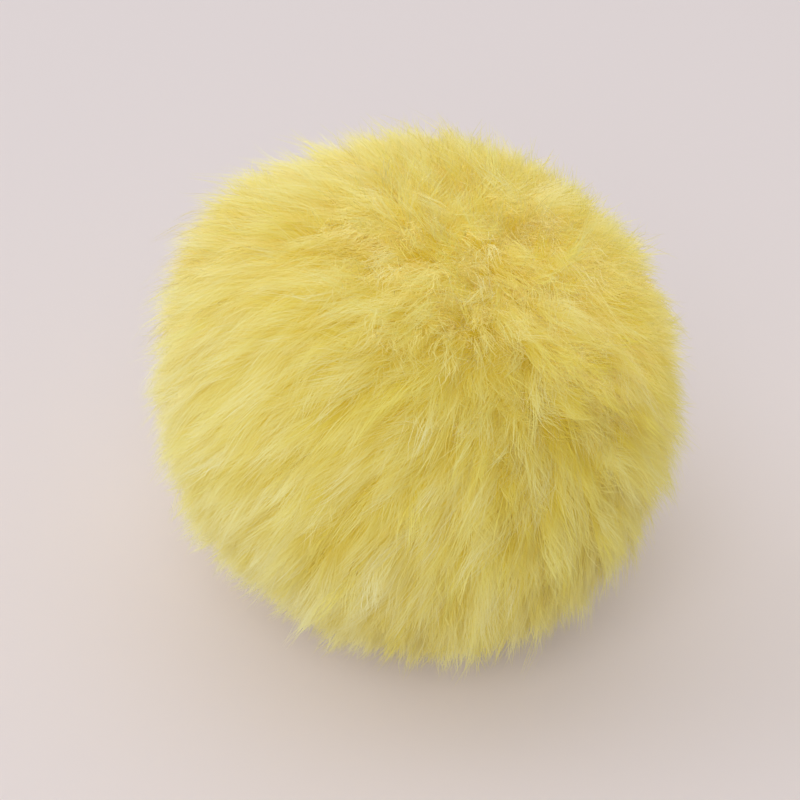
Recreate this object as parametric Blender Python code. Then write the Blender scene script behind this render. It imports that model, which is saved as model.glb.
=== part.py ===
"""A fur pompom about 80 mm across, as it lies on a flat surface.

A small stuffed ball carries 300 locks of long soft pile. The locks grow side by side out of the ball,
are joined to it and to each other only at their roots, and fall away from one crown near the top. Under
the ball they are short and blunt and end level, so that the pompom rests on a small flat spot.

The shape is worked out in three steps: a net of four-sided cells over the ball, one straight lock inside
the cone over each cell, and one smooth bend of the space around the ball that lays all locks over
together, so that they never cross.
"""

import math
import random
from collections import namedtuple

import bmesh
import bpy
from mathutils import Quaternion, Vector

# Sizes, in metres.
BALL_RADIUS = 0.0230
REACH = 0.0395
CENTRE_HEIGHT = 0.0362
DOWN = Vector((0.0, 0.0, -1.0))

# The surface presses the pile: below PRESS_TOP the heights are squeezed, and what would hang down to
# PRESS_DEPTH below the surface comes to lie on it.
PRESS_TOP = 0.0120
PRESS_DEPTH = 0.0020

# The net of cells: each of its triangles is split into three four-sided cells, one lock in each, so that
# 52 net points give 100 triangles and 300 locks.
NET_POINTS = 52
NET_JITTER = 0.20
NET_SEED = 11
NET_SMOOTHING = 2

# The crown is where the pile parts. The locks lean away from it, more and more towards their tips, and
# they stand evenly spaced at the height EVEN_HEIGHT of the pile, as a share of it.
CROWN = Vector((0.46, 0.08, 0.88)).normalized()
LEAN = 0.42
LEAN_POWER = 1.25
EVEN_HEIGHT = 0.90

# Locks differ in length, and their tips stand away from the middle of their cells.
LOCK_SEED = 5
LENGTH_SPREAD = 0.11
TIP_WANDER = 0.55

# A lock stands on a cell: the directions of the cell's corners and middle, how far its tip is off the
# middle, and its length.
Lock = namedtuple("Lock", "corners middle wander length")
# A lock's rings from root to tip: how far along it each one is, and how much of its cell it fills.
Ring = namedtuple("Ring", "along fill")
LOCK_RINGS = (
    Ring(along=0.30, fill=0.84),
    Ring(along=0.64, fill=0.84),
    Ring(along=0.87, fill=0.50),
)
# A lock that ends level on the surface fills this much of its cell all the way down, and may take this
# much more than its own length to get there, because it spreads as it is pressed.
LEVEL_FILL = 0.80
LEVEL_SPARE = 1.10

# Slow turns of the pile's direction: each turns it about an axis, by an angle that rises and falls
# along the direction of its waves.
Swirl = namedtuple("Swirl", "axis waves phase degrees")
SWIRLS = (
    Swirl(axis=(0.3, -0.4, 0.9), waves=(3.1, 1.2, -0.8), phase=0.4, degrees=2.0),
    Swirl(axis=(0.9, 0.3, 0.1), waves=(-1.4, 3.4, 1.9), phase=2.1, degrees=2.0),
    Swirl(axis=(-0.2, 0.9, 0.4), waves=(2.2, -1.6, 3.6), phase=4.0, degrees=2.0),
)

# Where the pile stands fuller or flatter than a round ball: the direction of the middle of each place,
# how much further the pile reaches there, and how far round the ball the place spreads.
Bulge = namedtuple("Bulge", "towards rise spread")
BULGES = (
    Bulge(towards=(-0.79, 0.38, 0.49), rise=0.0044, spread=0.36),
    Bulge(towards=(-0.60, -0.50, -0.62), rise=-0.0018, spread=0.45),
    Bulge(towards=(0.60, 0.50, 0.65), rise=-0.0006, spread=0.40),
    Bulge(towards=(0.25, -0.80, -0.55), rise=0.0010, spread=0.45),
)

# Edges sharper than this stay sharp when the locks are shaded smooth.
SHARP_ANGLE = math.radians(70.0)
# Steps of halving with which a length is fitted to the surface.
HALVINGS = 40

FUR_COLOUR = (0.84, 0.70, 0.16, 1.0)
FUR_ROUGHNESS = 0.85


def clear_scene():
    """Remove whatever the scene holds."""
    for item in list(bpy.data.objects):
        bpy.data.objects.remove(item, do_unlink=True)


def net_points():
    """Directions spread evenly over the ball along a spiral, each moved a little at random."""
    dice = random.Random(NET_SEED)
    golden_turn = math.pi * (3.0 - math.sqrt(5.0))
    spacing = math.sqrt(4.0 * math.pi / NET_POINTS)
    points = []
    for index in range(NET_POINTS):
        height = 1.0 - (2.0 * index + 1.0) / NET_POINTS
        ring = math.sqrt(1.0 - height * height)
        turn = golden_turn * index
        even = Vector((ring * math.cos(turn), ring * math.sin(turn), height))
        shift = Vector([dice.uniform(-1.0, 1.0) for _ in range(3)])
        points.append((even + shift * NET_JITTER * spacing).normalized())
    return points


def net_cells():
    """The four-sided cells of the net, each as the directions of its corners, anticlockwise from outside."""
    net = bmesh.new()
    for point in net_points():
        net.verts.new(point)
    bmesh.ops.convex_hull(net, input=net.verts)
    bmesh.ops.recalc_face_normals(net, faces=net.faces)
    net.verts.index_update()

    corners = [vert.co.normalized() for vert in net.verts]
    middle_of_edge = {}
    for edge in net.edges:
        middle_of_edge[edge] = len(corners)
        corners.append((edge.verts[0].co + edge.verts[1].co).normalized())
    cells = []
    for face in net.faces:
        middle = len(corners)
        corners.append(face.calc_center_median().normalized())
        for loop in face.loops:
            after = middle_of_edge[loop.edge]
            before = middle_of_edge[loop.link_loop_prev.edge]
            cells.append((loop.vert.index, after, middle, before))
    net.free()
    return smooth_net(corners, cells), cells


def smooth_net(corners, cells):
    """Even the cells out by moving each corner towards the middle of its neighbours."""
    neighbours = [set() for _ in corners]
    for cell in cells:
        for place, corner in enumerate(cell):
            neighbours[corner].update((cell[place - 1], cell[(place + 1) % len(cell)]))
    for _ in range(NET_SMOOTHING):
        corners = [
            sum((corners[other] for other in sorted(around)), Vector()).normalized()
            for around in neighbours
        ]
    return corners


def root_corners(corners, cells):
    """Where the cells meet the ball: the lowest cell points down, and all crowd towards the crown."""
    middles = [cell_middle(corners, cell) for cell in cells]
    lowest = min(middles, key=lambda middle: middle.z)
    turn = lowest.rotation_difference(DOWN)
    even = LEAN * EVEN_HEIGHT**LEAN_POWER
    return [slide_from_crown(turn @ corner, -even) for corner in corners]


def cell_middle(corners, cell):
    """The direction of a cell's middle."""
    return sum((corners[corner] for corner in cell), Vector()).normalized()


def reach_towards(direction):
    """How far from the ball's centre the pile reaches in a direction, before it is pressed."""
    reach = REACH
    for bulge in BULGES:
        off = direction.angle(Vector(bulge.towards))
        reach += bulge.rise * math.exp(-((off / bulge.spread) ** 2))
    return reach


def slide_from_crown(direction, amount):
    """Move a direction away from the crown along the ball, so that small shapes keep their proportions."""
    along_crown = direction.dot(CROWN)
    flat = (direction - CROWN * along_crown) / (1.0 + along_crown) * math.exp(amount)
    size = flat.length_squared
    return (flat * 2.0 + CROWN * (1.0 - size)) / (1.0 + size)


def bend(point):
    """Lay the pile over: move a point of the straight pile, seen from the ball's centre, to its place."""
    radius = point.length
    height = max(0.0, (radius - BALL_RADIUS) / (REACH - BALL_RADIUS))
    laid = height**LEAN_POWER
    direction = slide_from_crown(point / radius, LEAN * laid)
    for swirl in SWIRLS:
        wave = math.sin(direction.dot(Vector(swirl.waves)) + swirl.phase)
        turn = Quaternion(Vector(swirl.axis), math.radians(swirl.degrees) * laid * wave)
        direction = turn @ direction

    stretch = (reach_towards(direction) - BALL_RADIUS) / (REACH - BALL_RADIUS)
    return direction * (BALL_RADIUS + (radius - BALL_RADIUS) * stretch)


def press(point):
    """Set a point over the surface, and squeeze its height where the surface presses the pile."""
    height = point.z + CENTRE_HEIGHT
    if height < PRESS_TOP:
        depth = PRESS_TOP + PRESS_DEPTH
        share = max(0.0, (height + PRESS_DEPTH) / depth)
        slack = 1.0 - PRESS_DEPTH / PRESS_TOP
        height = PRESS_TOP * (slack * share + (1.0 - slack) * share * share)
    return Vector((point.x, point.y, height))


def lock_point(lock, corner, along, fill):
    """A point of a lock: in the straight cone over its cell, then bent with all the pile."""
    axis = lock.middle + lock.wander * (1.0 - fill)
    direction = (axis + (corner - lock.middle) * fill).normalized()
    return bend(direction * (BALL_RADIUS + lock.length * along))


def clearance(point):
    """How far a point is over the level where the surface stops it."""
    return point.z + CENTRE_HEIGHT + PRESS_DEPTH


def first_share(is_blocked):
    """The share from 0 to 1 at which something is first blocked, by halving, or 1 if it never is."""
    clear, blocked = 0.0, 1.0
    if not is_blocked(blocked):
        return blocked
    for _ in range(HALVINGS):
        half = (clear + blocked) / 2.0
        if is_blocked(half):
            blocked = half
        else:
            clear = half
    return clear


def level_rings(lock):
    """The rings of a short lock that ends level on the surface, or None where the surface is out of reach."""
    spare = lock._replace(length=lock.length * LEVEL_SPARE, wander=Vector())
    shares = [
        first_share(lambda along: clearance(lock_point(spare, corner, along, LEVEL_FILL)) < 0.0)
        for corner in spare.corners
    ]
    if max(shares) == 1.0:
        return None
    steps = range(1, len(LOCK_RINGS) + 1)
    return [
        [
            lock_point(spare, corner, share * step / len(LOCK_RINGS), LEVEL_FILL)
            for corner, share in zip(spare.corners, shares)
        ]
        for step in steps
    ]


def pointed_rings(lock):
    """The rings of a lock that narrows to its tip."""
    return [[lock_point(lock, corner, ring.along, ring.fill) for corner in lock.corners] for ring in LOCK_RINGS]


def lock_tip(lock):
    """The point of a lock."""
    return lock_point(lock, lock.middle, 1.0, 0.0)


def trimmed(lock):
    """The lock, made shorter where it would reach into the surface."""

    def reaches_surface(share):
        shorter = lock._replace(length=lock.length * share)
        points = sum(pointed_rings(shorter), [lock_tip(shorter)])
        return min(clearance(point) for point in points) < 0.0

    return lock._replace(length=lock.length * first_share(reaches_surface))


def add_lock(pile, roots, lock):
    """Skin a lock from its root corners through its rings to its level end or its tip."""
    rings = level_rings(lock)
    is_level = rings is not None
    if not is_level:
        lock = trimmed(lock)
        rings = pointed_rings(lock)
    below = roots
    for ring in rings:
        above = [pile.verts.new(press(point)) for point in ring]
        for side in range(len(above)):
            after = (side + 1) % len(above)
            pile.faces.new((below[side], below[after], above[after], above[side]))
        below = above
    if is_level:
        pile.faces.new(below)
        return
    tip = pile.verts.new(press(lock_tip(lock)))
    for side in range(len(below)):
        pile.faces.new((below[side], below[(side + 1) % len(below)], tip))


def centre_over_origin(pile):
    """Move the ball so that the middle of its box stands over the origin."""
    for axis in (0, 1):
        places = [vert.co[axis] for vert in pile.verts]
        shift = (min(places) + max(places)) / 2.0
        for vert in pile.verts:
            vert.co[axis] -= shift


def fur_ball_mesh():
    """The ball with all its locks, as one closed body that stands on the origin."""
    corners, cells = net_cells()
    corners = root_corners(corners, cells)
    dice = random.Random(LOCK_SEED)
    pile = bmesh.new()
    roots = [pile.verts.new(press(corner * BALL_RADIUS)) for corner in corners]
    for cell in cells:
        around = [corners[corner] for corner in cell]
        middle = cell_middle(corners, cell)
        towards = around[dice.randrange(len(around))] - middle
        lock = Lock(
            corners=around,
            middle=middle,
            wander=towards * dice.uniform(0.0, TIP_WANDER),
            length=(REACH - BALL_RADIUS) * (1.0 + dice.uniform(-LENGTH_SPREAD, LENGTH_SPREAD)),
        )
        add_lock(pile, [roots[corner] for corner in cell], lock)
    centre_over_origin(pile)

    mesh = bpy.data.meshes.new("fur_ball")
    pile.to_mesh(mesh)
    pile.free()
    mesh.shade_smooth()
    mesh.set_sharp_from_angle(angle=SHARP_ANGLE)
    return mesh


def fur_material():
    """Matt lemon-yellow fur."""
    material = bpy.data.materials.new("lemon_fur")
    material.use_nodes = True
    shader = material.node_tree.nodes["Principled BSDF"]
    shader.inputs["Base Color"].default_value = FUR_COLOUR
    shader.inputs["Roughness"].default_value = FUR_ROUGHNESS
    shader.inputs["Metallic"].default_value = 0.0
    return material


def build():
    """Make the pompom."""
    clear_scene()
    mesh = fur_ball_mesh()
    mesh.materials.append(fur_material())
    fur_ball = bpy.data.objects.new("fur_ball", mesh)
    bpy.context.scene.collection.objects.link(fur_ball)


build()
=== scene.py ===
"""The looks of the fur pompom: a woolly body with dense short underpile and longer silky hair over it.

The hair is laid over by the same bend as the solid model's locks and gathers in three sizes of tuft, the
largest of them those locks. All sizes are in metres and all angles in radians, unless a name says
otherwise. A place around the ball is a direction from its centre, and a height in the pile is a share of
the pile's whole depth.
"""

import math
import random
from collections import namedtuple

import bmesh
import bpy
import numpy as np
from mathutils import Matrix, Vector

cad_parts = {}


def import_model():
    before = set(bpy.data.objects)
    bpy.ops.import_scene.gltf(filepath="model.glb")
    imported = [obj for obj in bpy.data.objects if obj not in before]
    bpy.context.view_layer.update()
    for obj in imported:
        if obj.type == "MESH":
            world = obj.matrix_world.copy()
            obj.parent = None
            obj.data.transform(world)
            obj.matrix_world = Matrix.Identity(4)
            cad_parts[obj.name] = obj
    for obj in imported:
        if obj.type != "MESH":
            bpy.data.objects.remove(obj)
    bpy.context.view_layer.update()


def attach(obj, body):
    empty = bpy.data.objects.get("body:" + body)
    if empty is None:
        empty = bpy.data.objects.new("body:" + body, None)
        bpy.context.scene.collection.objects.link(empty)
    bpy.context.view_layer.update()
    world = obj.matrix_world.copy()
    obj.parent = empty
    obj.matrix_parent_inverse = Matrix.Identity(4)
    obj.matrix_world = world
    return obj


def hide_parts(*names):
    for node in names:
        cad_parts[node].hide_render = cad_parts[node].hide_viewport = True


# As in the solid model: the stuffed ball, how far the pile reaches from its centre, and below which
# height and by how much the surface presses the pile. The frame's middle is that of the box round the
# locks, so the ball's centre stands a little off it.
BALL_RADIUS = 0.0230
REACH = 0.0395
BALL_CENTRE = np.array((0.00087, 0.00016, 0.0362))
PRESS_TOP = 0.0120
PRESS_DEPTH = 0.0020

# The net of cells that carry the solid model's locks.
NET_POINTS = 52
NET_JITTER = 0.20
NET_SEED = 11
NET_SMOOTHING = 2

# The crown, where the pile parts and which it leans away from, more and more towards the tips, and the
# height in the pile at which the locks stand evenly spaced.
CROWN = np.array((0.46, 0.08, 0.88))
CROWN = CROWN / np.linalg.norm(CROWN)
LEAN = 0.42
LEAN_POWER = 1.25
EVEN_HEIGHT = 0.90
EVEN_SLIDE = LEAN * EVEN_HEIGHT**LEAN_POWER

# How much the locks differ in length, and how far their tips stand off the middle of their cells.
LOCK_SEED = 5
LENGTH_SPREAD = 0.11
TIP_WANDER = 0.55

# Slow turns of the pile's direction, and the places where it stands fuller or flatter than a round ball.
Swirl = namedtuple("Swirl", "axis waves phase degrees")
SWIRLS = (
    Swirl(axis=(0.3, -0.4, 0.9), waves=(3.1, 1.2, -0.8), phase=0.4, degrees=2.0),
    Swirl(axis=(0.9, 0.3, 0.1), waves=(-1.4, 3.4, 1.9), phase=2.1, degrees=2.0),
    Swirl(axis=(-0.2, 0.9, 0.4), waves=(2.2, -1.6, 3.6), phase=4.0, degrees=2.0),
)

Bulge = namedtuple("Bulge", "towards rise spread")
BULGES = (
    Bulge(towards=(-0.79, 0.38, 0.49), rise=0.0044, spread=0.36),
    Bulge(towards=(-0.60, -0.50, -0.62), rise=-0.0018, spread=0.45),
    Bulge(towards=(0.60, 0.50, 0.65), rise=-0.0006, spread=0.40),
    Bulge(towards=(0.25, -0.80, -0.55), rise=0.0010, spread=0.45),
)

# The tufts that the hair gathers in, besides the solid model's locks. count is how many there are, jitter
# how unevenly they stand, and length and lean how much their length (as a share) and direction differ.
Tufts = namedtuple("Tufts", "count jitter length lean seed")
FINE = Tufts(count=14000, jitter=0.40, length=0.07, lean=0.034, seed=31)
COARSE = Tufts(count=1300, jitter=0.50, length=0.026, lean=0.026, seed=32)
# Near the crown the tufts cross each other and cover the parting.
CROWN_SPREAD = 0.42
CROWN_LEAN = 0.4
# How much of the difference in length between locks the hair shows.
LOCK_SHARE = 0.35
# The hairs of a fine tuft stand this far round its middle, as a share of the way to the next tuft.
TUFT_WIDTH = 0.8
# Hair at the edge of a coarse tuft is this much shorter than in its middle, as a share, and even further
# out it is shortened no more than at this many times the tuft's radius.
TUFT_DOME = 0.04
DOME_LIMIT = 1.5
# Each hair closes up with its tufts by this share of their gather, or more. The gather sets in along the
# hair with the first of these powers for coarse tufts and with the second for locks.
LOOSEST_GATHER = 0.6
TUFT_POWER = 1.3
LOCK_POWER = 2.5
# The pile's deepest colour shows at the first of these heights and its tip colour at the second.
# Painted shade in part: the darker colour deep in the pile is partly the fur's own and partly shade between
# hairs, which cast no shadow.
DEEP_HEIGHT = 0.70
PALE_HEIGHT = 1.04
# A hair's tone, from 0 for deep to 1 for pale: the middle one, how much it differs between coarse tufts,
# fine tufts and single hairs, and how close to 0 and 1 it may come.
MIDDLE_TONE = 0.53
COARSE_TONE = 0.42
FINE_TONE = 0.35
HAIR_TONE = 0.01
TONE_MARGIN = 0.02
# Painted light: the tone is painted paler towards this side of the ball, deeper on the other, by this much.
PAINTED_LIGHT_SIDE = np.array((-0.90, 0.15, -0.41))
PAINTED_LIGHT_SHIFT = 0.20
# A coarse tuft is shaded as round over this width, as an angle, and by this much. Its axis is mostly its
# own and for the rest that of the fine tuft.
TUFT_ROUNDING = 0.050
TUFT_ROUNDNESS = 0.45
COARSE_AXIS = 0.7
# How far the flat hairs of a fine tuft turn about their length together, and each of them alone.
TUFT_TWIST = 0.18
HAIR_TWIST = 0.04
# How much a hair is shaded as part of its tuft's round surface, against its own flat side.
OUTWARD_SHADING = 1.20
# Hair that grows this near the crown, as an angle, stands so steeply that its back shows, and has one.
BACKED_ANGLE = 0.85
# The front and the back of such a hair each stand off its middle by this much.
BACK_GAP = 0.000008
# A hair narrows by this share towards its tip, with this power of the way along it, and then ends in a
# point.
TAPER = 0.75
TAPER_POWER = 2.5
# The hair under the ball lies this high over the surface.
FLOOR_GAP = 0.00002
# Half the width of a hair on the map of its tone.
HALF_STRIP = 0.004

# A kind of hair. count is how many hairs there are in all, pieces how many meshes they are split into,
# segments how many straight steps each hair has, and width its full width. A hair shows from the share
# start of its length, about where the woolly body ends, and is shortest to longest times as long as its
# tuft. fine, coarse and lock are how much its tip closes up with each size of tuft. frizz is how far it
# strays.
Kind = namedtuple(
    "Kind", "name seed count pieces segments start width shortest longest fine coarse lock frizz fur"
)
# The colours of a fur from its roots over its middle to its tips, where its tone is palest.
# The darker roots and middles are partly painted shade from deep in the pile.
Fur = namedtuple("Fur", "root middle tip roughness")
KINDS = (
    Kind(
        name="under_pile", seed=21, count=246000, pieces=5, segments=2,
        start=0.70, width=0.00009, shortest=0.84, longest=1.07,
        fine=0.50, coarse=0.08, lock=0.05, frizz=0.0005,
        fur=Fur((0.71, 0.59, 0.07), (0.75, 0.675, 0.22), (0.82, 0.80, 0.50), roughness=0.8),
    ),
    Kind(
        name="guard_hair", seed=22, count=17000, pieces=1, segments=3,
        start=0.72, width=0.00009, shortest=0.91, longest=1.085,
        fine=0.60, coarse=0.10, lock=0.05, frizz=0.0006,
        fur=Fur((0.72, 0.60, 0.08), (0.76, 0.685, 0.24), (0.83, 0.81, 0.52), roughness=0.6),
    ),
)
# A kind's hairs are dealt out over its meshes with its own seed and this.
DEAL_SEED = 100

# What the deepest tone makes of a fur's colours. The palest leaves them as they are.
DEEP_TINT = (0.96, 0.90, 0.27)
FUR_SHEEN = 0.75
SHEEN_ROUGHNESS = 0.5
SHEEN_TINT = (1.0, 0.95, 0.66, 1.0)
FUR_SPECULAR = 0.25

# The woolly body: how often its mesh is divided, its height in the pile between the tufts, and how much
# it rises in their middles. It is mottled between two yellows.
BODY_DIVISIONS = 6
BODY_HEIGHT = 0.62
BODY_LOCK_RISE = 0.02
BODY_TUFT_RISE = 0.03
# Painted shade: both yellows are darker than the wool's own, for the shade of the hair above it, which casts
# none.
WOOL_SHADED_DEEP = (0.58, 0.45, 0.03)
WOOL_SHADED_PALE = (0.68, 0.55, 0.05)
WOOL_ROUGHNESS = 0.9
WOOL_SPECULAR = 0.2
MOTTLE_SCALE = 1200.0

FLOOR_HALF = 3.0
FLOOR_COLOUR = (0.855, 0.782, 0.786, 1.0)
FLOOR_ROUGHNESS = 0.75
FLOOR_SPECULAR = 0.2

# A lamp is a round area light: where it stands, how wide it is, and its power in watts. The low one
# from behind is for the fluff alone, so that its shadow doesn't fall on the floor.
Lamp = namedtuple("Lamp", "name place size power colour fluff_only")
WHITE = (1.0, 0.99, 0.975)
COOL_WHITE = (0.94, 0.98, 1.14)
LAMPS = (
    Lamp("key", (-0.30, -1.55, 1.90), 2.4, 28.5, WHITE, fluff_only=False),
    Lamp("top", (-0.20, 0.90, 2.30), 3.0, 10.0, WHITE, fluff_only=False),
    Lamp("side", (-2.00, 0.50, 1.40), 2.0, 9.5, COOL_WHITE, fluff_only=False),
    Lamp("rim", (0.00, 2.60, 1.00), 1.6, 37.0, WHITE, fluff_only=True),
)
LAMP_TARGET = Vector((0.0, 0.0, 0.035))
ROOM_COLOUR = (1.0, 0.985, 0.97, 1.0)
ROOM_STRENGTH = 0.39

# The camera looks down on the pompom from the front. The lens and the sensor are in millimetres.
CAMERA_TARGET = Vector((-0.0020, -0.0005, 0.0360))
CAMERA_DISTANCE = 0.45
CAMERA_ELEVATION = math.radians(38.0)
CAMERA_LENS = 135.5
CAMERA_SENSOR = 36.0
CAMERA_NEAR = 0.01

# Light goes on from hair to hair this many times.
BOUNCES = 8

# Distances are worked out for about this many places at a time.
PLACES_AT_ONCE = 4000


def unit(vectors):
    """The vectors, each made one long."""
    return vectors / np.linalg.norm(vectors, axis=-1, keepdims=True)


def spacing_of(count):
    """How far apart this many directions stand, as an angle, when they are spread evenly."""
    return math.sqrt(4.0 * math.pi / count)


def radius_of(tufts):
    """The radius, as an angle, of tufts that fill the ball side by side."""
    return math.sqrt(4.0 / len(tufts.places))


def spiral(count, jitter, seed):
    """Directions spread evenly over the ball along a spiral, each moved a little at random."""
    dice = random.Random(seed)
    golden_turn = math.pi * (3.0 - math.sqrt(5.0))
    spacing = spacing_of(count)
    points = []
    for index in range(count):
        height = 1.0 - (2.0 * index + 1.0) / count
        ring = math.sqrt(1.0 - height * height)
        turn = golden_turn * index
        even = Vector((ring * math.cos(turn), ring * math.sin(turn), height))
        shift = Vector([dice.uniform(-1.0, 1.0) for _ in range(3)])
        points.append((even + shift * jitter * spacing).normalized())
    return points


def net_cells():
    """The four-sided cells of the net, each by the directions of its corners, anticlockwise from outside."""
    net = bmesh.new()
    for point in spiral(NET_POINTS, NET_JITTER, NET_SEED):
        net.verts.new(point)
    bmesh.ops.convex_hull(net, input=net.verts)
    bmesh.ops.recalc_face_normals(net, faces=net.faces)
    net.verts.index_update()

    corners = [vert.co.normalized() for vert in net.verts]
    middle_of_edge = {}
    for edge in net.edges:
        middle_of_edge[edge] = len(corners)
        corners.append((edge.verts[0].co + edge.verts[1].co).normalized())
    cells = []
    for face in net.faces:
        middle = len(corners)
        corners.append(face.calc_center_median().normalized())
        for loop in face.loops:
            after = middle_of_edge[loop.edge]
            before = middle_of_edge[loop.link_loop_prev.edge]
            cells.append((loop.vert.index, after, middle, before))
    net.free()
    return smooth_net(corners, cells), cells


def smooth_net(corners, cells):
    """Even the cells out by moving each corner towards the middle of its neighbours."""
    neighbours = [set() for _ in corners]
    for cell in cells:
        for place, corner in enumerate(cell):
            neighbours[corner].update((cell[place - 1], cell[(place + 1) % len(cell)]))
    for _ in range(NET_SMOOTHING):
        corners = [
            sum((corners[other] for other in sorted(around)), Vector()).normalized()
            for around in neighbours
        ]
    return corners


def slide_from_crown(directions, amounts):
    """Move directions away from the crown along the ball, so that small shapes keep their proportions."""
    along_crown = (directions @ CROWN)[..., None]
    grow = np.exp(amounts)[..., None]
    flat = (directions - CROWN * along_crown) / (1.0 + along_crown) * grow
    size = (flat**2).sum(axis=-1, keepdims=True)
    return (flat * 2.0 + CROWN * (1.0 - size)) / (1.0 + size)


def roots_of(places):
    """Where on the ball the hair grows that stands at these places in the pile."""
    return slide_from_crown(places, np.full(places.shape[:-1], -EVEN_SLIDE))


def turned(vectors, axis, angles):
    """The vectors turned about an axis, each by its own angle."""
    cos = np.cos(angles)[..., None]
    sin = np.sin(angles)[..., None]
    along = (vectors @ axis)[..., None]
    return vectors * cos + np.cross(axis, vectors) * sin + axis * along * (1.0 - cos)


def reach_towards(directions):
    """How far from the ball's centre the pile reaches in each direction, before it is pressed."""
    reach = np.full(directions.shape[:-1], REACH)
    for bulge in BULGES:
        off = np.arccos(np.clip(directions @ unit(np.array(bulge.towards)), -1.0, 1.0))
        reach += bulge.rise * np.exp(-((off / bulge.spread) ** 2))
    return reach


def bend(points):
    """Lay the pile over: move points of the straight pile, seen from the ball's centre, to their places."""
    radius = np.linalg.norm(points, axis=-1)
    height = np.maximum(0.0, (radius - BALL_RADIUS) / (REACH - BALL_RADIUS))
    laid = height**LEAN_POWER
    directions = slide_from_crown(points / radius[..., None], LEAN * laid)
    for swirl in SWIRLS:
        wave = np.sin(directions @ np.array(swirl.waves) + swirl.phase)
        angles = math.radians(swirl.degrees) * laid * wave
        directions = turned(directions, unit(np.array(swirl.axis)), angles)
    stretch = (reach_towards(directions) - BALL_RADIUS) / (REACH - BALL_RADIUS)
    return directions * (BALL_RADIUS + (radius - BALL_RADIUS) * stretch)[..., None]


def press(points):
    """Set points over the surface, and squeeze their heights where the surface presses the pile."""
    placed = points + BALL_CENTRE
    height = placed[..., 2]
    share = np.maximum(0.0, (height + PRESS_DEPTH) / (PRESS_TOP + PRESS_DEPTH))
    slack = 1.0 - PRESS_DEPTH / PRESS_TOP
    squeezed = PRESS_TOP * (slack * share + (1.0 - slack) * share * share)
    placed[..., 2] = np.where(height < PRESS_TOP, squeezed, height)
    return placed


def nearest(places, hearts):
    """For each place the number of the nearest heart, and how far off it is as an angle."""
    number = np.empty(len(places), dtype=int)
    cosine = np.empty(len(places))
    for part in np.array_split(np.arange(len(places)), max(1, len(places) // PLACES_AT_ONCE)):
        along = places[part] @ hearts.T
        number[part] = along.argmax(axis=1)
        cosine[part] = along.max(axis=1)
    return number, np.sqrt(np.maximum(0.0, 2.0 - 2.0 * cosine))


# Tufts of one size: where they stand in the pile, where they root and how long they are as a share of the
# pile's depth, and besides, for all but the locks, which way their tips stray and their tone from 0 to 1.
TuftSet = namedtuple("TuftSet", "places roots length lean tone", defaults=(None, None))


def lock_set():
    """The solid model's locks as a set of tufts."""
    corners, cells = net_cells()
    middles = [sum((corners[corner] for corner in cell), Vector()).normalized() for cell in cells]
    lowest = min(middles, key=lambda middle: middle.z)
    # One lock points straight down.
    turn = lowest.rotation_difference(Vector((0.0, 0.0, -1.0)))
    placed = np.array([tuple(turn @ corner) for corner in corners])
    around = roots_of(placed)[np.array(cells)]
    middle = unit(around.sum(axis=1))
    dice = random.Random(LOCK_SEED)
    hearts = np.zeros_like(middle)
    length = np.zeros(len(cells))
    for index in range(len(cells)):
        towards = around[index, dice.randrange(around.shape[1])] - middle[index]
        hearts[index] = middle[index] + towards * dice.uniform(0.0, TIP_WANDER)
        length[index] = 1.0 + dice.uniform(-LENGTH_SPREAD, LENGTH_SPREAD)
    places = unit(placed[np.array(cells)].sum(axis=1))
    return TuftSet(places, unit(hearts), length)


def tuft_set(tufts):
    """Tufts of one size spread over the ball."""
    rng = np.random.default_rng(tufts.seed)
    places = np.array([tuple(place) for place in spiral(tufts.count, tufts.jitter, tufts.seed)])
    off_crown = np.arccos(np.clip(places @ CROWN, -1.0, 1.0))
    more = 1.0 + CROWN_LEAN * np.exp(-((off_crown / CROWN_SPREAD) ** 2))
    lean = rng.normal(0.0, tufts.lean, (tufts.count, 3)) * more[:, None]
    length = rng.normal(1.0, tufts.length, tufts.count)
    return TuftSet(places, roots_of(places), length, lean, rng.uniform(0.0, 1.0, tufts.count))


# What the hair needs to know of its tufts: the three sets, and for each fine tuft its coarse tuft and
# its lock.
Pile = namedtuple("Pile", "fine coarse locks coarse_of lock_of")


def grow_pile():
    """All tufts, and which larger one each fine tuft belongs to."""
    fine, coarse, locks = tuft_set(FINE), tuft_set(COARSE), lock_set()
    coarse_of, _ = nearest(fine.places, coarse.places)
    lock_of_coarse, _ = nearest(coarse.places, locks.places)
    return Pile(fine, coarse, locks, coarse_of, lock_of_coarse[coarse_of])


# Hairs by their points from root to tip, the directions those are shaded towards and their depths in the
# pile, and by the tone and the twist of each hair and whether it is near the crown.
Hairs = namedtuple("Hairs", "paths facing depth tone twist steep")


def hair_places(fine, tuft, rng):
    """Where in the pile the hairs of these fine tufts stand, scattered round the tufts' middles."""
    scatter = unit(rng.normal(0.0, 1.0, (len(tuft), 3))) * rng.uniform(0.0, 1.0, (len(tuft), 1)) ** 0.5
    return unit(fine.places[tuft] + scatter * spacing_of(len(fine.places)) * TUFT_WIDTH)


def hair_lengths(kind, pile, tuft, places, rng):
    """How long the hairs are from the stuffed ball to their tips."""
    coarse, lump = pile.coarse, pile.coarse_of[tuft]
    lock_length = 1.0 + (pile.locks.length[pile.lock_of[tuft]] - 1.0) * LOCK_SHARE
    length = (REACH - BALL_RADIUS) * lock_length * coarse.length[lump] * pile.fine.length[tuft]
    length = length * rng.uniform(kind.shortest, kind.longest, len(tuft))
    off_lump = np.linalg.norm(places - coarse.places[lump], axis=1) / radius_of(coarse)
    return length * (1.0 - TUFT_DOME * np.minimum(DOME_LIMIT, off_lump) ** 2)


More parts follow.
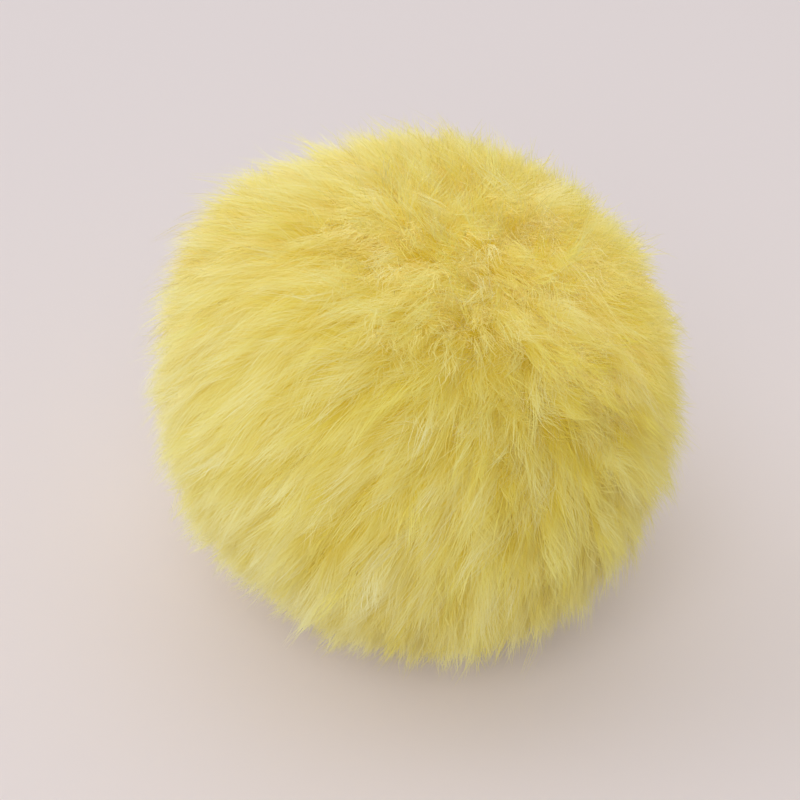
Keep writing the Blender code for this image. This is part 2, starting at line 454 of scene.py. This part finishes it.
def hair_tones(pile, tuft, places, rng):
    """The tones of the hairs of these fine tufts, with painted light making one side of the ball paler."""
    tone = MIDDLE_TONE + (pile.coarse.tone[pile.coarse_of[tuft]] - 0.5) * COARSE_TONE
    # Painted light: the tone is made paler on one side of the ball and deeper on the other.
    tone = tone + (pile.fine.tone[tuft] - 0.5) * FINE_TONE + places @ PAINTED_LIGHT_SIDE * PAINTED_LIGHT_SHIFT
    tone = tone + rng.normal(0.0, HAIR_TONE, len(tuft))
    return np.clip(tone, TONE_MARGIN, 1.0 - TONE_MARGIN)


def grow_hairs(kind, pile):
    """All hairs of a kind."""
    rng = np.random.default_rng(kind.seed)
    tuft = rng.integers(0, len(pile.fine.places), kind.count)
    places = hair_places(pile.fine, tuft, rng)
    length = hair_lengths(kind, pile, tuft, places, rng)
    gather = rng.uniform(LOOSEST_GATHER, 1.0, kind.count)
    stray = rng.normal(0.0, 1.0, (kind.count, 3)) * (kind.frizz / REACH)
    curl = rng.normal(0.0, 1.0, (kind.count, 3)) * (kind.frizz / REACH)

    lump, lock = pile.coarse_of[tuft], pile.lock_of[tuft]
    root, fine_root = roots_of(places), pile.fine.roots[tuft]
    coarse_root, lock_root = pile.coarse.roots[lump], pile.locks.roots[lock]
    heart = coarse_root * COARSE_AXIS + fine_root * (1.0 - COARSE_AXIS)
    lean = pile.coarse.lean[lump] + pile.fine.lean[tuft]

    paths, facing, depth = [], [], []
    for step in range(kind.segments + 1):
        out = step / kind.segments
        along = kind.start + (1.0 - kind.start) * out
        to_fine = (kind.fine * gather * out)[:, None]
        to_coarse = (kind.coarse * gather * out**TUFT_POWER)[:, None]
        to_lock = kind.lock * along**LOCK_POWER
        drift = (coarse_root - fine_root) * to_coarse + (lock_root - coarse_root) * to_lock
        drift = drift + lean * out**TUFT_POWER
        loose = stray * out**TUFT_POWER + curl * math.sin(math.pi * out)
        radius = (BALL_RADIUS + length * along)[:, None]
        axis = bend(unit(heart + drift) * radius)
        points = bend(unit(root + (fine_root - root) * to_fine + drift + loose) * radius)
        off_axis = (points - axis) / (TUFT_ROUNDING * REACH)
        off_axis = off_axis / np.maximum(1.0, np.linalg.norm(off_axis, axis=1, keepdims=True))
        facing.append(unit(unit(points) + off_axis * TUFT_ROUNDNESS))
        paths.append(press(points))
        # Painted shade in part: the colour deepens with the depth in the pile.
        height = length * along / (REACH - BALL_RADIUS)
        depth.append(np.clip((height - DEEP_HEIGHT) / (PALE_HEIGHT - DEEP_HEIGHT), 0.0, 1.0))

    tone = hair_tones(pile, tuft, places, rng)
    tilts = rng.normal(0.0, TUFT_TWIST, len(pile.fine.places))
    twist = tilts[tuft] + rng.normal(0.0, HAIR_TWIST, kind.count)
    steep = places @ CROWN > math.cos(BACKED_ANGLE)
    layers = [np.stack(values, axis=1) for values in (paths, facing, depth)]
    return Hairs(*layers, tone, twist, steep)


def with_backs(hairs):
    """The hairs and then the backs of the steep ones, and for each the side it shows: 1 front, -1 back."""
    fronts = len(hairs.steep)
    chosen = np.concatenate([np.arange(fronts), np.flatnonzero(hairs.steep)])
    side = np.where(np.arange(len(chosen)) < fronts, 1.0, -1.0)
    return Hairs(*(values[chosen] for values in hairs)), side


def ribbon_shape(hairs, towards, widths):
    """The points and normals of flat tapering hairs: two at each step from the root, and one at the tip."""
    tangent = unit(np.gradient(hairs.paths, axis=1))
    side = unit(np.cross(tangent, hairs.facing))
    rise = np.cross(side, tangent)
    cos, sin = np.cos(hairs.twist)[:, None, None], np.sin(hairs.twist)[:, None, None]
    side = (side * cos + rise * sin) * towards[:, None, None]
    square = np.cross(side, tangent)
    agree = np.clip((square * hairs.facing).sum(axis=-1, keepdims=True), 0.0, 1.0)
    normals = unit(hairs.facing * agree**2 * OUTWARD_SHADING + square)

    paths = hairs.paths + square * BACK_GAP
    half = widths[None, :-1, None] / 2.0
    left = paths[:, :-1] - side[:, :-1] * half
    right = paths[:, :-1] + side[:, :-1] * half
    pairs = np.stack([left, right], axis=2).reshape(len(paths), -1, 3)
    points = np.concatenate([pairs, paths[:, -1:]], axis=1)
    points[..., 2] = np.maximum(points[..., 2], FLOOR_GAP)
    return points, np.concatenate([np.repeat(normals[:, :-1], 2, axis=1), normals[:, -1:]], axis=1)


def ribbon_mesh(name, hairs, widths):
    """Hairs in one mesh, each of four-sided steps and a pointed one, on a map with U tone and V depth."""
    hairs, towards = with_backs(hairs)
    points, normals = ribbon_shape(hairs, towards, widths)
    count, per_hair, _ = points.shape
    segments = hairs.paths.shape[1] - 1

    quads = [(2 * step, 2 * step + 1, 2 * step + 3, 2 * step + 2) for step in range(segments - 1)]
    tip = (per_hair - 3, per_hair - 2, per_hair - 1)
    corners = np.array([corner for face in (*quads, tip) for corner in face])
    loop_points = (np.arange(count) * per_hair)[:, None] + corners
    face_starts = 4 * np.arange(segments)
    loop_starts = (np.arange(count) * len(corners))[:, None] + face_starts

    mesh = bpy.data.meshes.new(name)
    mesh.vertices.add(count * per_hair)
    mesh.vertices.foreach_set("co", points.astype(np.float32).ravel())
    mesh.loops.add(loop_points.size)
    mesh.loops.foreach_set("vertex_index", loop_points.astype(np.int32).ravel())
    mesh.polygons.add(loop_starts.size)
    mesh.polygons.foreach_set("loop_start", loop_starts.astype(np.int32).ravel())

    step_of = corners // 2
    side_of = np.where(corners == per_hair - 1, 0.0, np.where(corners % 2 == 0, -1.0, 1.0))
    u = hairs.tone[:, None] + side_of * HALF_STRIP
    v = hairs.depth[:, step_of]
    layer = mesh.uv_layers.new(name="OFBake")
    layer.data.foreach_set("uv", np.stack([u, v], axis=-1).astype(np.float32).ravel())
    mesh.update(calc_edges=True)
    mesh.validate()
    mesh.shade_smooth()
    mesh.normals_split_custom_set_from_vertices(normals.reshape(-1, 3).tolist())
    return mesh


def new_material(name, roughness, specular):
    """A material of that name, and its shader."""
    material = bpy.data.materials.new(name)
    material.use_nodes = True
    shader = material.node_tree.nodes["Principled BSDF"]
    shader.inputs["Roughness"].default_value = roughness
    shader.inputs["Specular IOR Level"].default_value = specular
    return material, shader


def colour_ramp(tree, amount, first, last, middle=None):
    """The colour that a socket's amount from 0 to 1 picks from the first to the last of these."""
    ramp = tree.nodes.new("ShaderNodeValToRGB")
    ramp.color_ramp.elements[0].color = (*first, 1.0)
    ramp.color_ramp.elements[1].color = (*last, 1.0)
    if middle:
        ramp.color_ramp.elements.new(0.5).color = (*middle, 1.0)
    tree.links.new(amount, ramp.inputs["Fac"])
    return ramp.outputs["Color"]


def hair_material(name, fur):
    """Fur darker towards the roots partly as painted shade, with a paler or deeper tone from hair to hair.
    """
    material, shader = new_material(name, fur.roughness, FUR_SPECULAR)
    shader.inputs["Sheen Weight"].default_value = FUR_SHEEN
    shader.inputs["Sheen Roughness"].default_value = SHEEN_ROUGHNESS
    shader.inputs["Sheen Tint"].default_value = SHEEN_TINT
    tree = material.node_tree
    place = tree.nodes.new("ShaderNodeUVMap")
    place.uv_map = "OFBake"
    split = tree.nodes.new("ShaderNodeSeparateXYZ")
    tree.links.new(place.outputs["UV"], split.inputs["Vector"])
    mix = tree.nodes.new("ShaderNodeMix")
    mix.data_type = "RGBA"
    mix.blend_type = "MULTIPLY"
    mix.inputs["Factor"].default_value = 1.0
    along = colour_ramp(tree, split.outputs["Y"], fur.root, fur.tip, fur.middle)
    tone = colour_ramp(tree, split.outputs["X"], DEEP_TINT, (1.0, 1.0, 1.0))
    tree.links.new(along, mix.inputs["A"])
    tree.links.new(tone, mix.inputs["B"])
    tree.links.new(mix.outputs["Result"], shader.inputs["Base Color"])
    return material


def wool_material():
    """Deep yellow matted wool, darkened as painted shade of the hair over it."""
    material, shader = new_material("wool", WOOL_ROUGHNESS, WOOL_SPECULAR)
    tree = material.node_tree
    noise = tree.nodes.new("ShaderNodeTexNoise")
    noise.inputs["Scale"].default_value = MOTTLE_SCALE
    colour = colour_ramp(tree, noise.outputs["Fac"], WOOL_SHADED_DEEP, WOOL_SHADED_PALE)
    tree.links.new(colour, shader.inputs["Base Color"])
    return material


def add_piece(name, mesh, material):
    """A piece of the pompom that stands for the solid ball and moves with the part."""
    mesh.materials.append(material)
    piece = bpy.data.objects.new(name, mesh)
    bpy.context.scene.collection.objects.link(piece)
    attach(piece, "root")
    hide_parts("fur_ball")
    return piece


def add_hair(kind, pile, material):
    """All hair of a kind, as several pieces."""
    hairs = grow_hairs(kind, pile)
    along = np.linspace(0.0, 1.0, kind.segments + 1)
    widths = kind.width * (1.0 - TAPER * along**TAPER_POWER)
    order = np.random.default_rng(kind.seed + DEAL_SEED).permutation(kind.count)
    pieces = []
    for number, part in enumerate(np.array_split(order, kind.pieces), start=1):
        name = f"{kind.name}_{number}"
        mesh = ribbon_mesh(name, Hairs(*(values[part] for values in hairs)), widths)
        piece = add_piece(name, mesh, material)
        # Fluff lets light through: the hair casts no hard shadow, the body under it does.
        piece.visible_shadow = False
        pieces.append(piece)
    return pieces


def add_body(pile):
    """The dense wool under the hair, lumpy where its tufts stand."""
    body = bmesh.new()
    bmesh.ops.create_icosphere(body, subdivisions=BODY_DIVISIONS, radius=1.0)
    places = unit(np.array([tuple(vert.co) for vert in body.verts]))
    height = np.full(len(places), BODY_HEIGHT)
    for tufts, rise in ((pile.coarse, BODY_TUFT_RISE), (pile.locks, BODY_LOCK_RISE)):
        _, off_middle = nearest(places, tufts.places)
        height = height + rise * (1.0 - (off_middle / radius_of(tufts)) ** 2)
    radius = BALL_RADIUS + (REACH - BALL_RADIUS) * height
    for vert, point in zip(body.verts, press(bend(roots_of(places) * radius[:, None]))):
        vert.co = point
    mesh = bpy.data.meshes.new("wool_body")
    body.to_mesh(mesh)
    body.free()
    mesh.shade_smooth()
    piece = add_piece("wool_body", mesh, wool_material())
    return piece


def add_floor():
    """A plain pale surface."""
    corners = [(x * FLOOR_HALF, y * FLOOR_HALF, 0.0) for x, y in ((-1, -1), (1, -1), (1, 1), (-1, 1))]
    mesh = bpy.data.meshes.new("floor")
    mesh.from_pydata(corners, [], [(0, 1, 2, 3)])
    floor = bpy.data.objects.new("floor", mesh)
    bpy.context.scene.collection.objects.link(floor)
    material, shader = new_material("pale_surface", FLOOR_ROUGHNESS, FLOOR_SPECULAR)
    shader.inputs["Base Color"].default_value = FLOOR_COLOUR
    mesh.materials.append(material)


def add_lamp(lamp, fluff):
    """A lamp that points at the pompom, and lights everything or the fluff alone."""
    light = bpy.data.lights.new(lamp.name, "AREA")
    light.shape = "DISK"
    light.size = lamp.size
    light.energy = lamp.power
    light.color = lamp.colour
    holder = bpy.data.objects.new(lamp.name, light)
    bpy.context.scene.collection.objects.link(holder)
    holder.location = lamp.place
    holder.rotation_euler = (LAMP_TARGET - Vector(lamp.place)).to_track_quat("-Z", "Y").to_euler()
    if lamp.fluff_only:
        holder.light_linking.receiver_collection = fluff


def add_lights(pieces):
    """A soft bright room and its lamps."""
    room = bpy.data.worlds.new("studio")
    bpy.context.scene.world = room
    room.use_nodes = True
    background = room.node_tree.nodes["Background"]
    background.inputs["Color"].default_value = ROOM_COLOUR
    background.inputs["Strength"].default_value = ROOM_STRENGTH
    fluff = bpy.data.collections.new("fluff")
    for piece in pieces:
        fluff.objects.link(piece)
    for lamp in LAMPS:
        add_lamp(lamp, fluff)


def add_camera():
    """The camera, aimed at the middle of the ball."""
    camera = bpy.data.cameras.new("camera")
    camera.lens = CAMERA_LENS
    camera.sensor_width = CAMERA_SENSOR
    camera.clip_start = CAMERA_NEAR
    view = bpy.data.objects.new("camera", camera)
    bpy.context.scene.collection.objects.link(view)
    back = Vector((0.0, -math.cos(CAMERA_ELEVATION), math.sin(CAMERA_ELEVATION)))
    view.location = CAMERA_TARGET + back * CAMERA_DISTANCE
    view.rotation_euler = (-back).to_track_quat("-Z", "Y").to_euler()
    bpy.context.scene.camera = view


def main():
    """The pompom, shown as hair in place of the solid model, with its floor, lights and camera."""
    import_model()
    pile = grow_pile()
    pieces = [add_body(pile)]
    for kind in KINDS:
        pieces += add_hair(kind, pile, hair_material(kind.name, kind.fur))
    add_floor()
    add_lights(pieces)
    add_camera()
    bpy.context.scene.view_settings.view_transform = "Standard"
    bpy.context.scene.cycles.diffuse_bounces = BOUNCES


main()
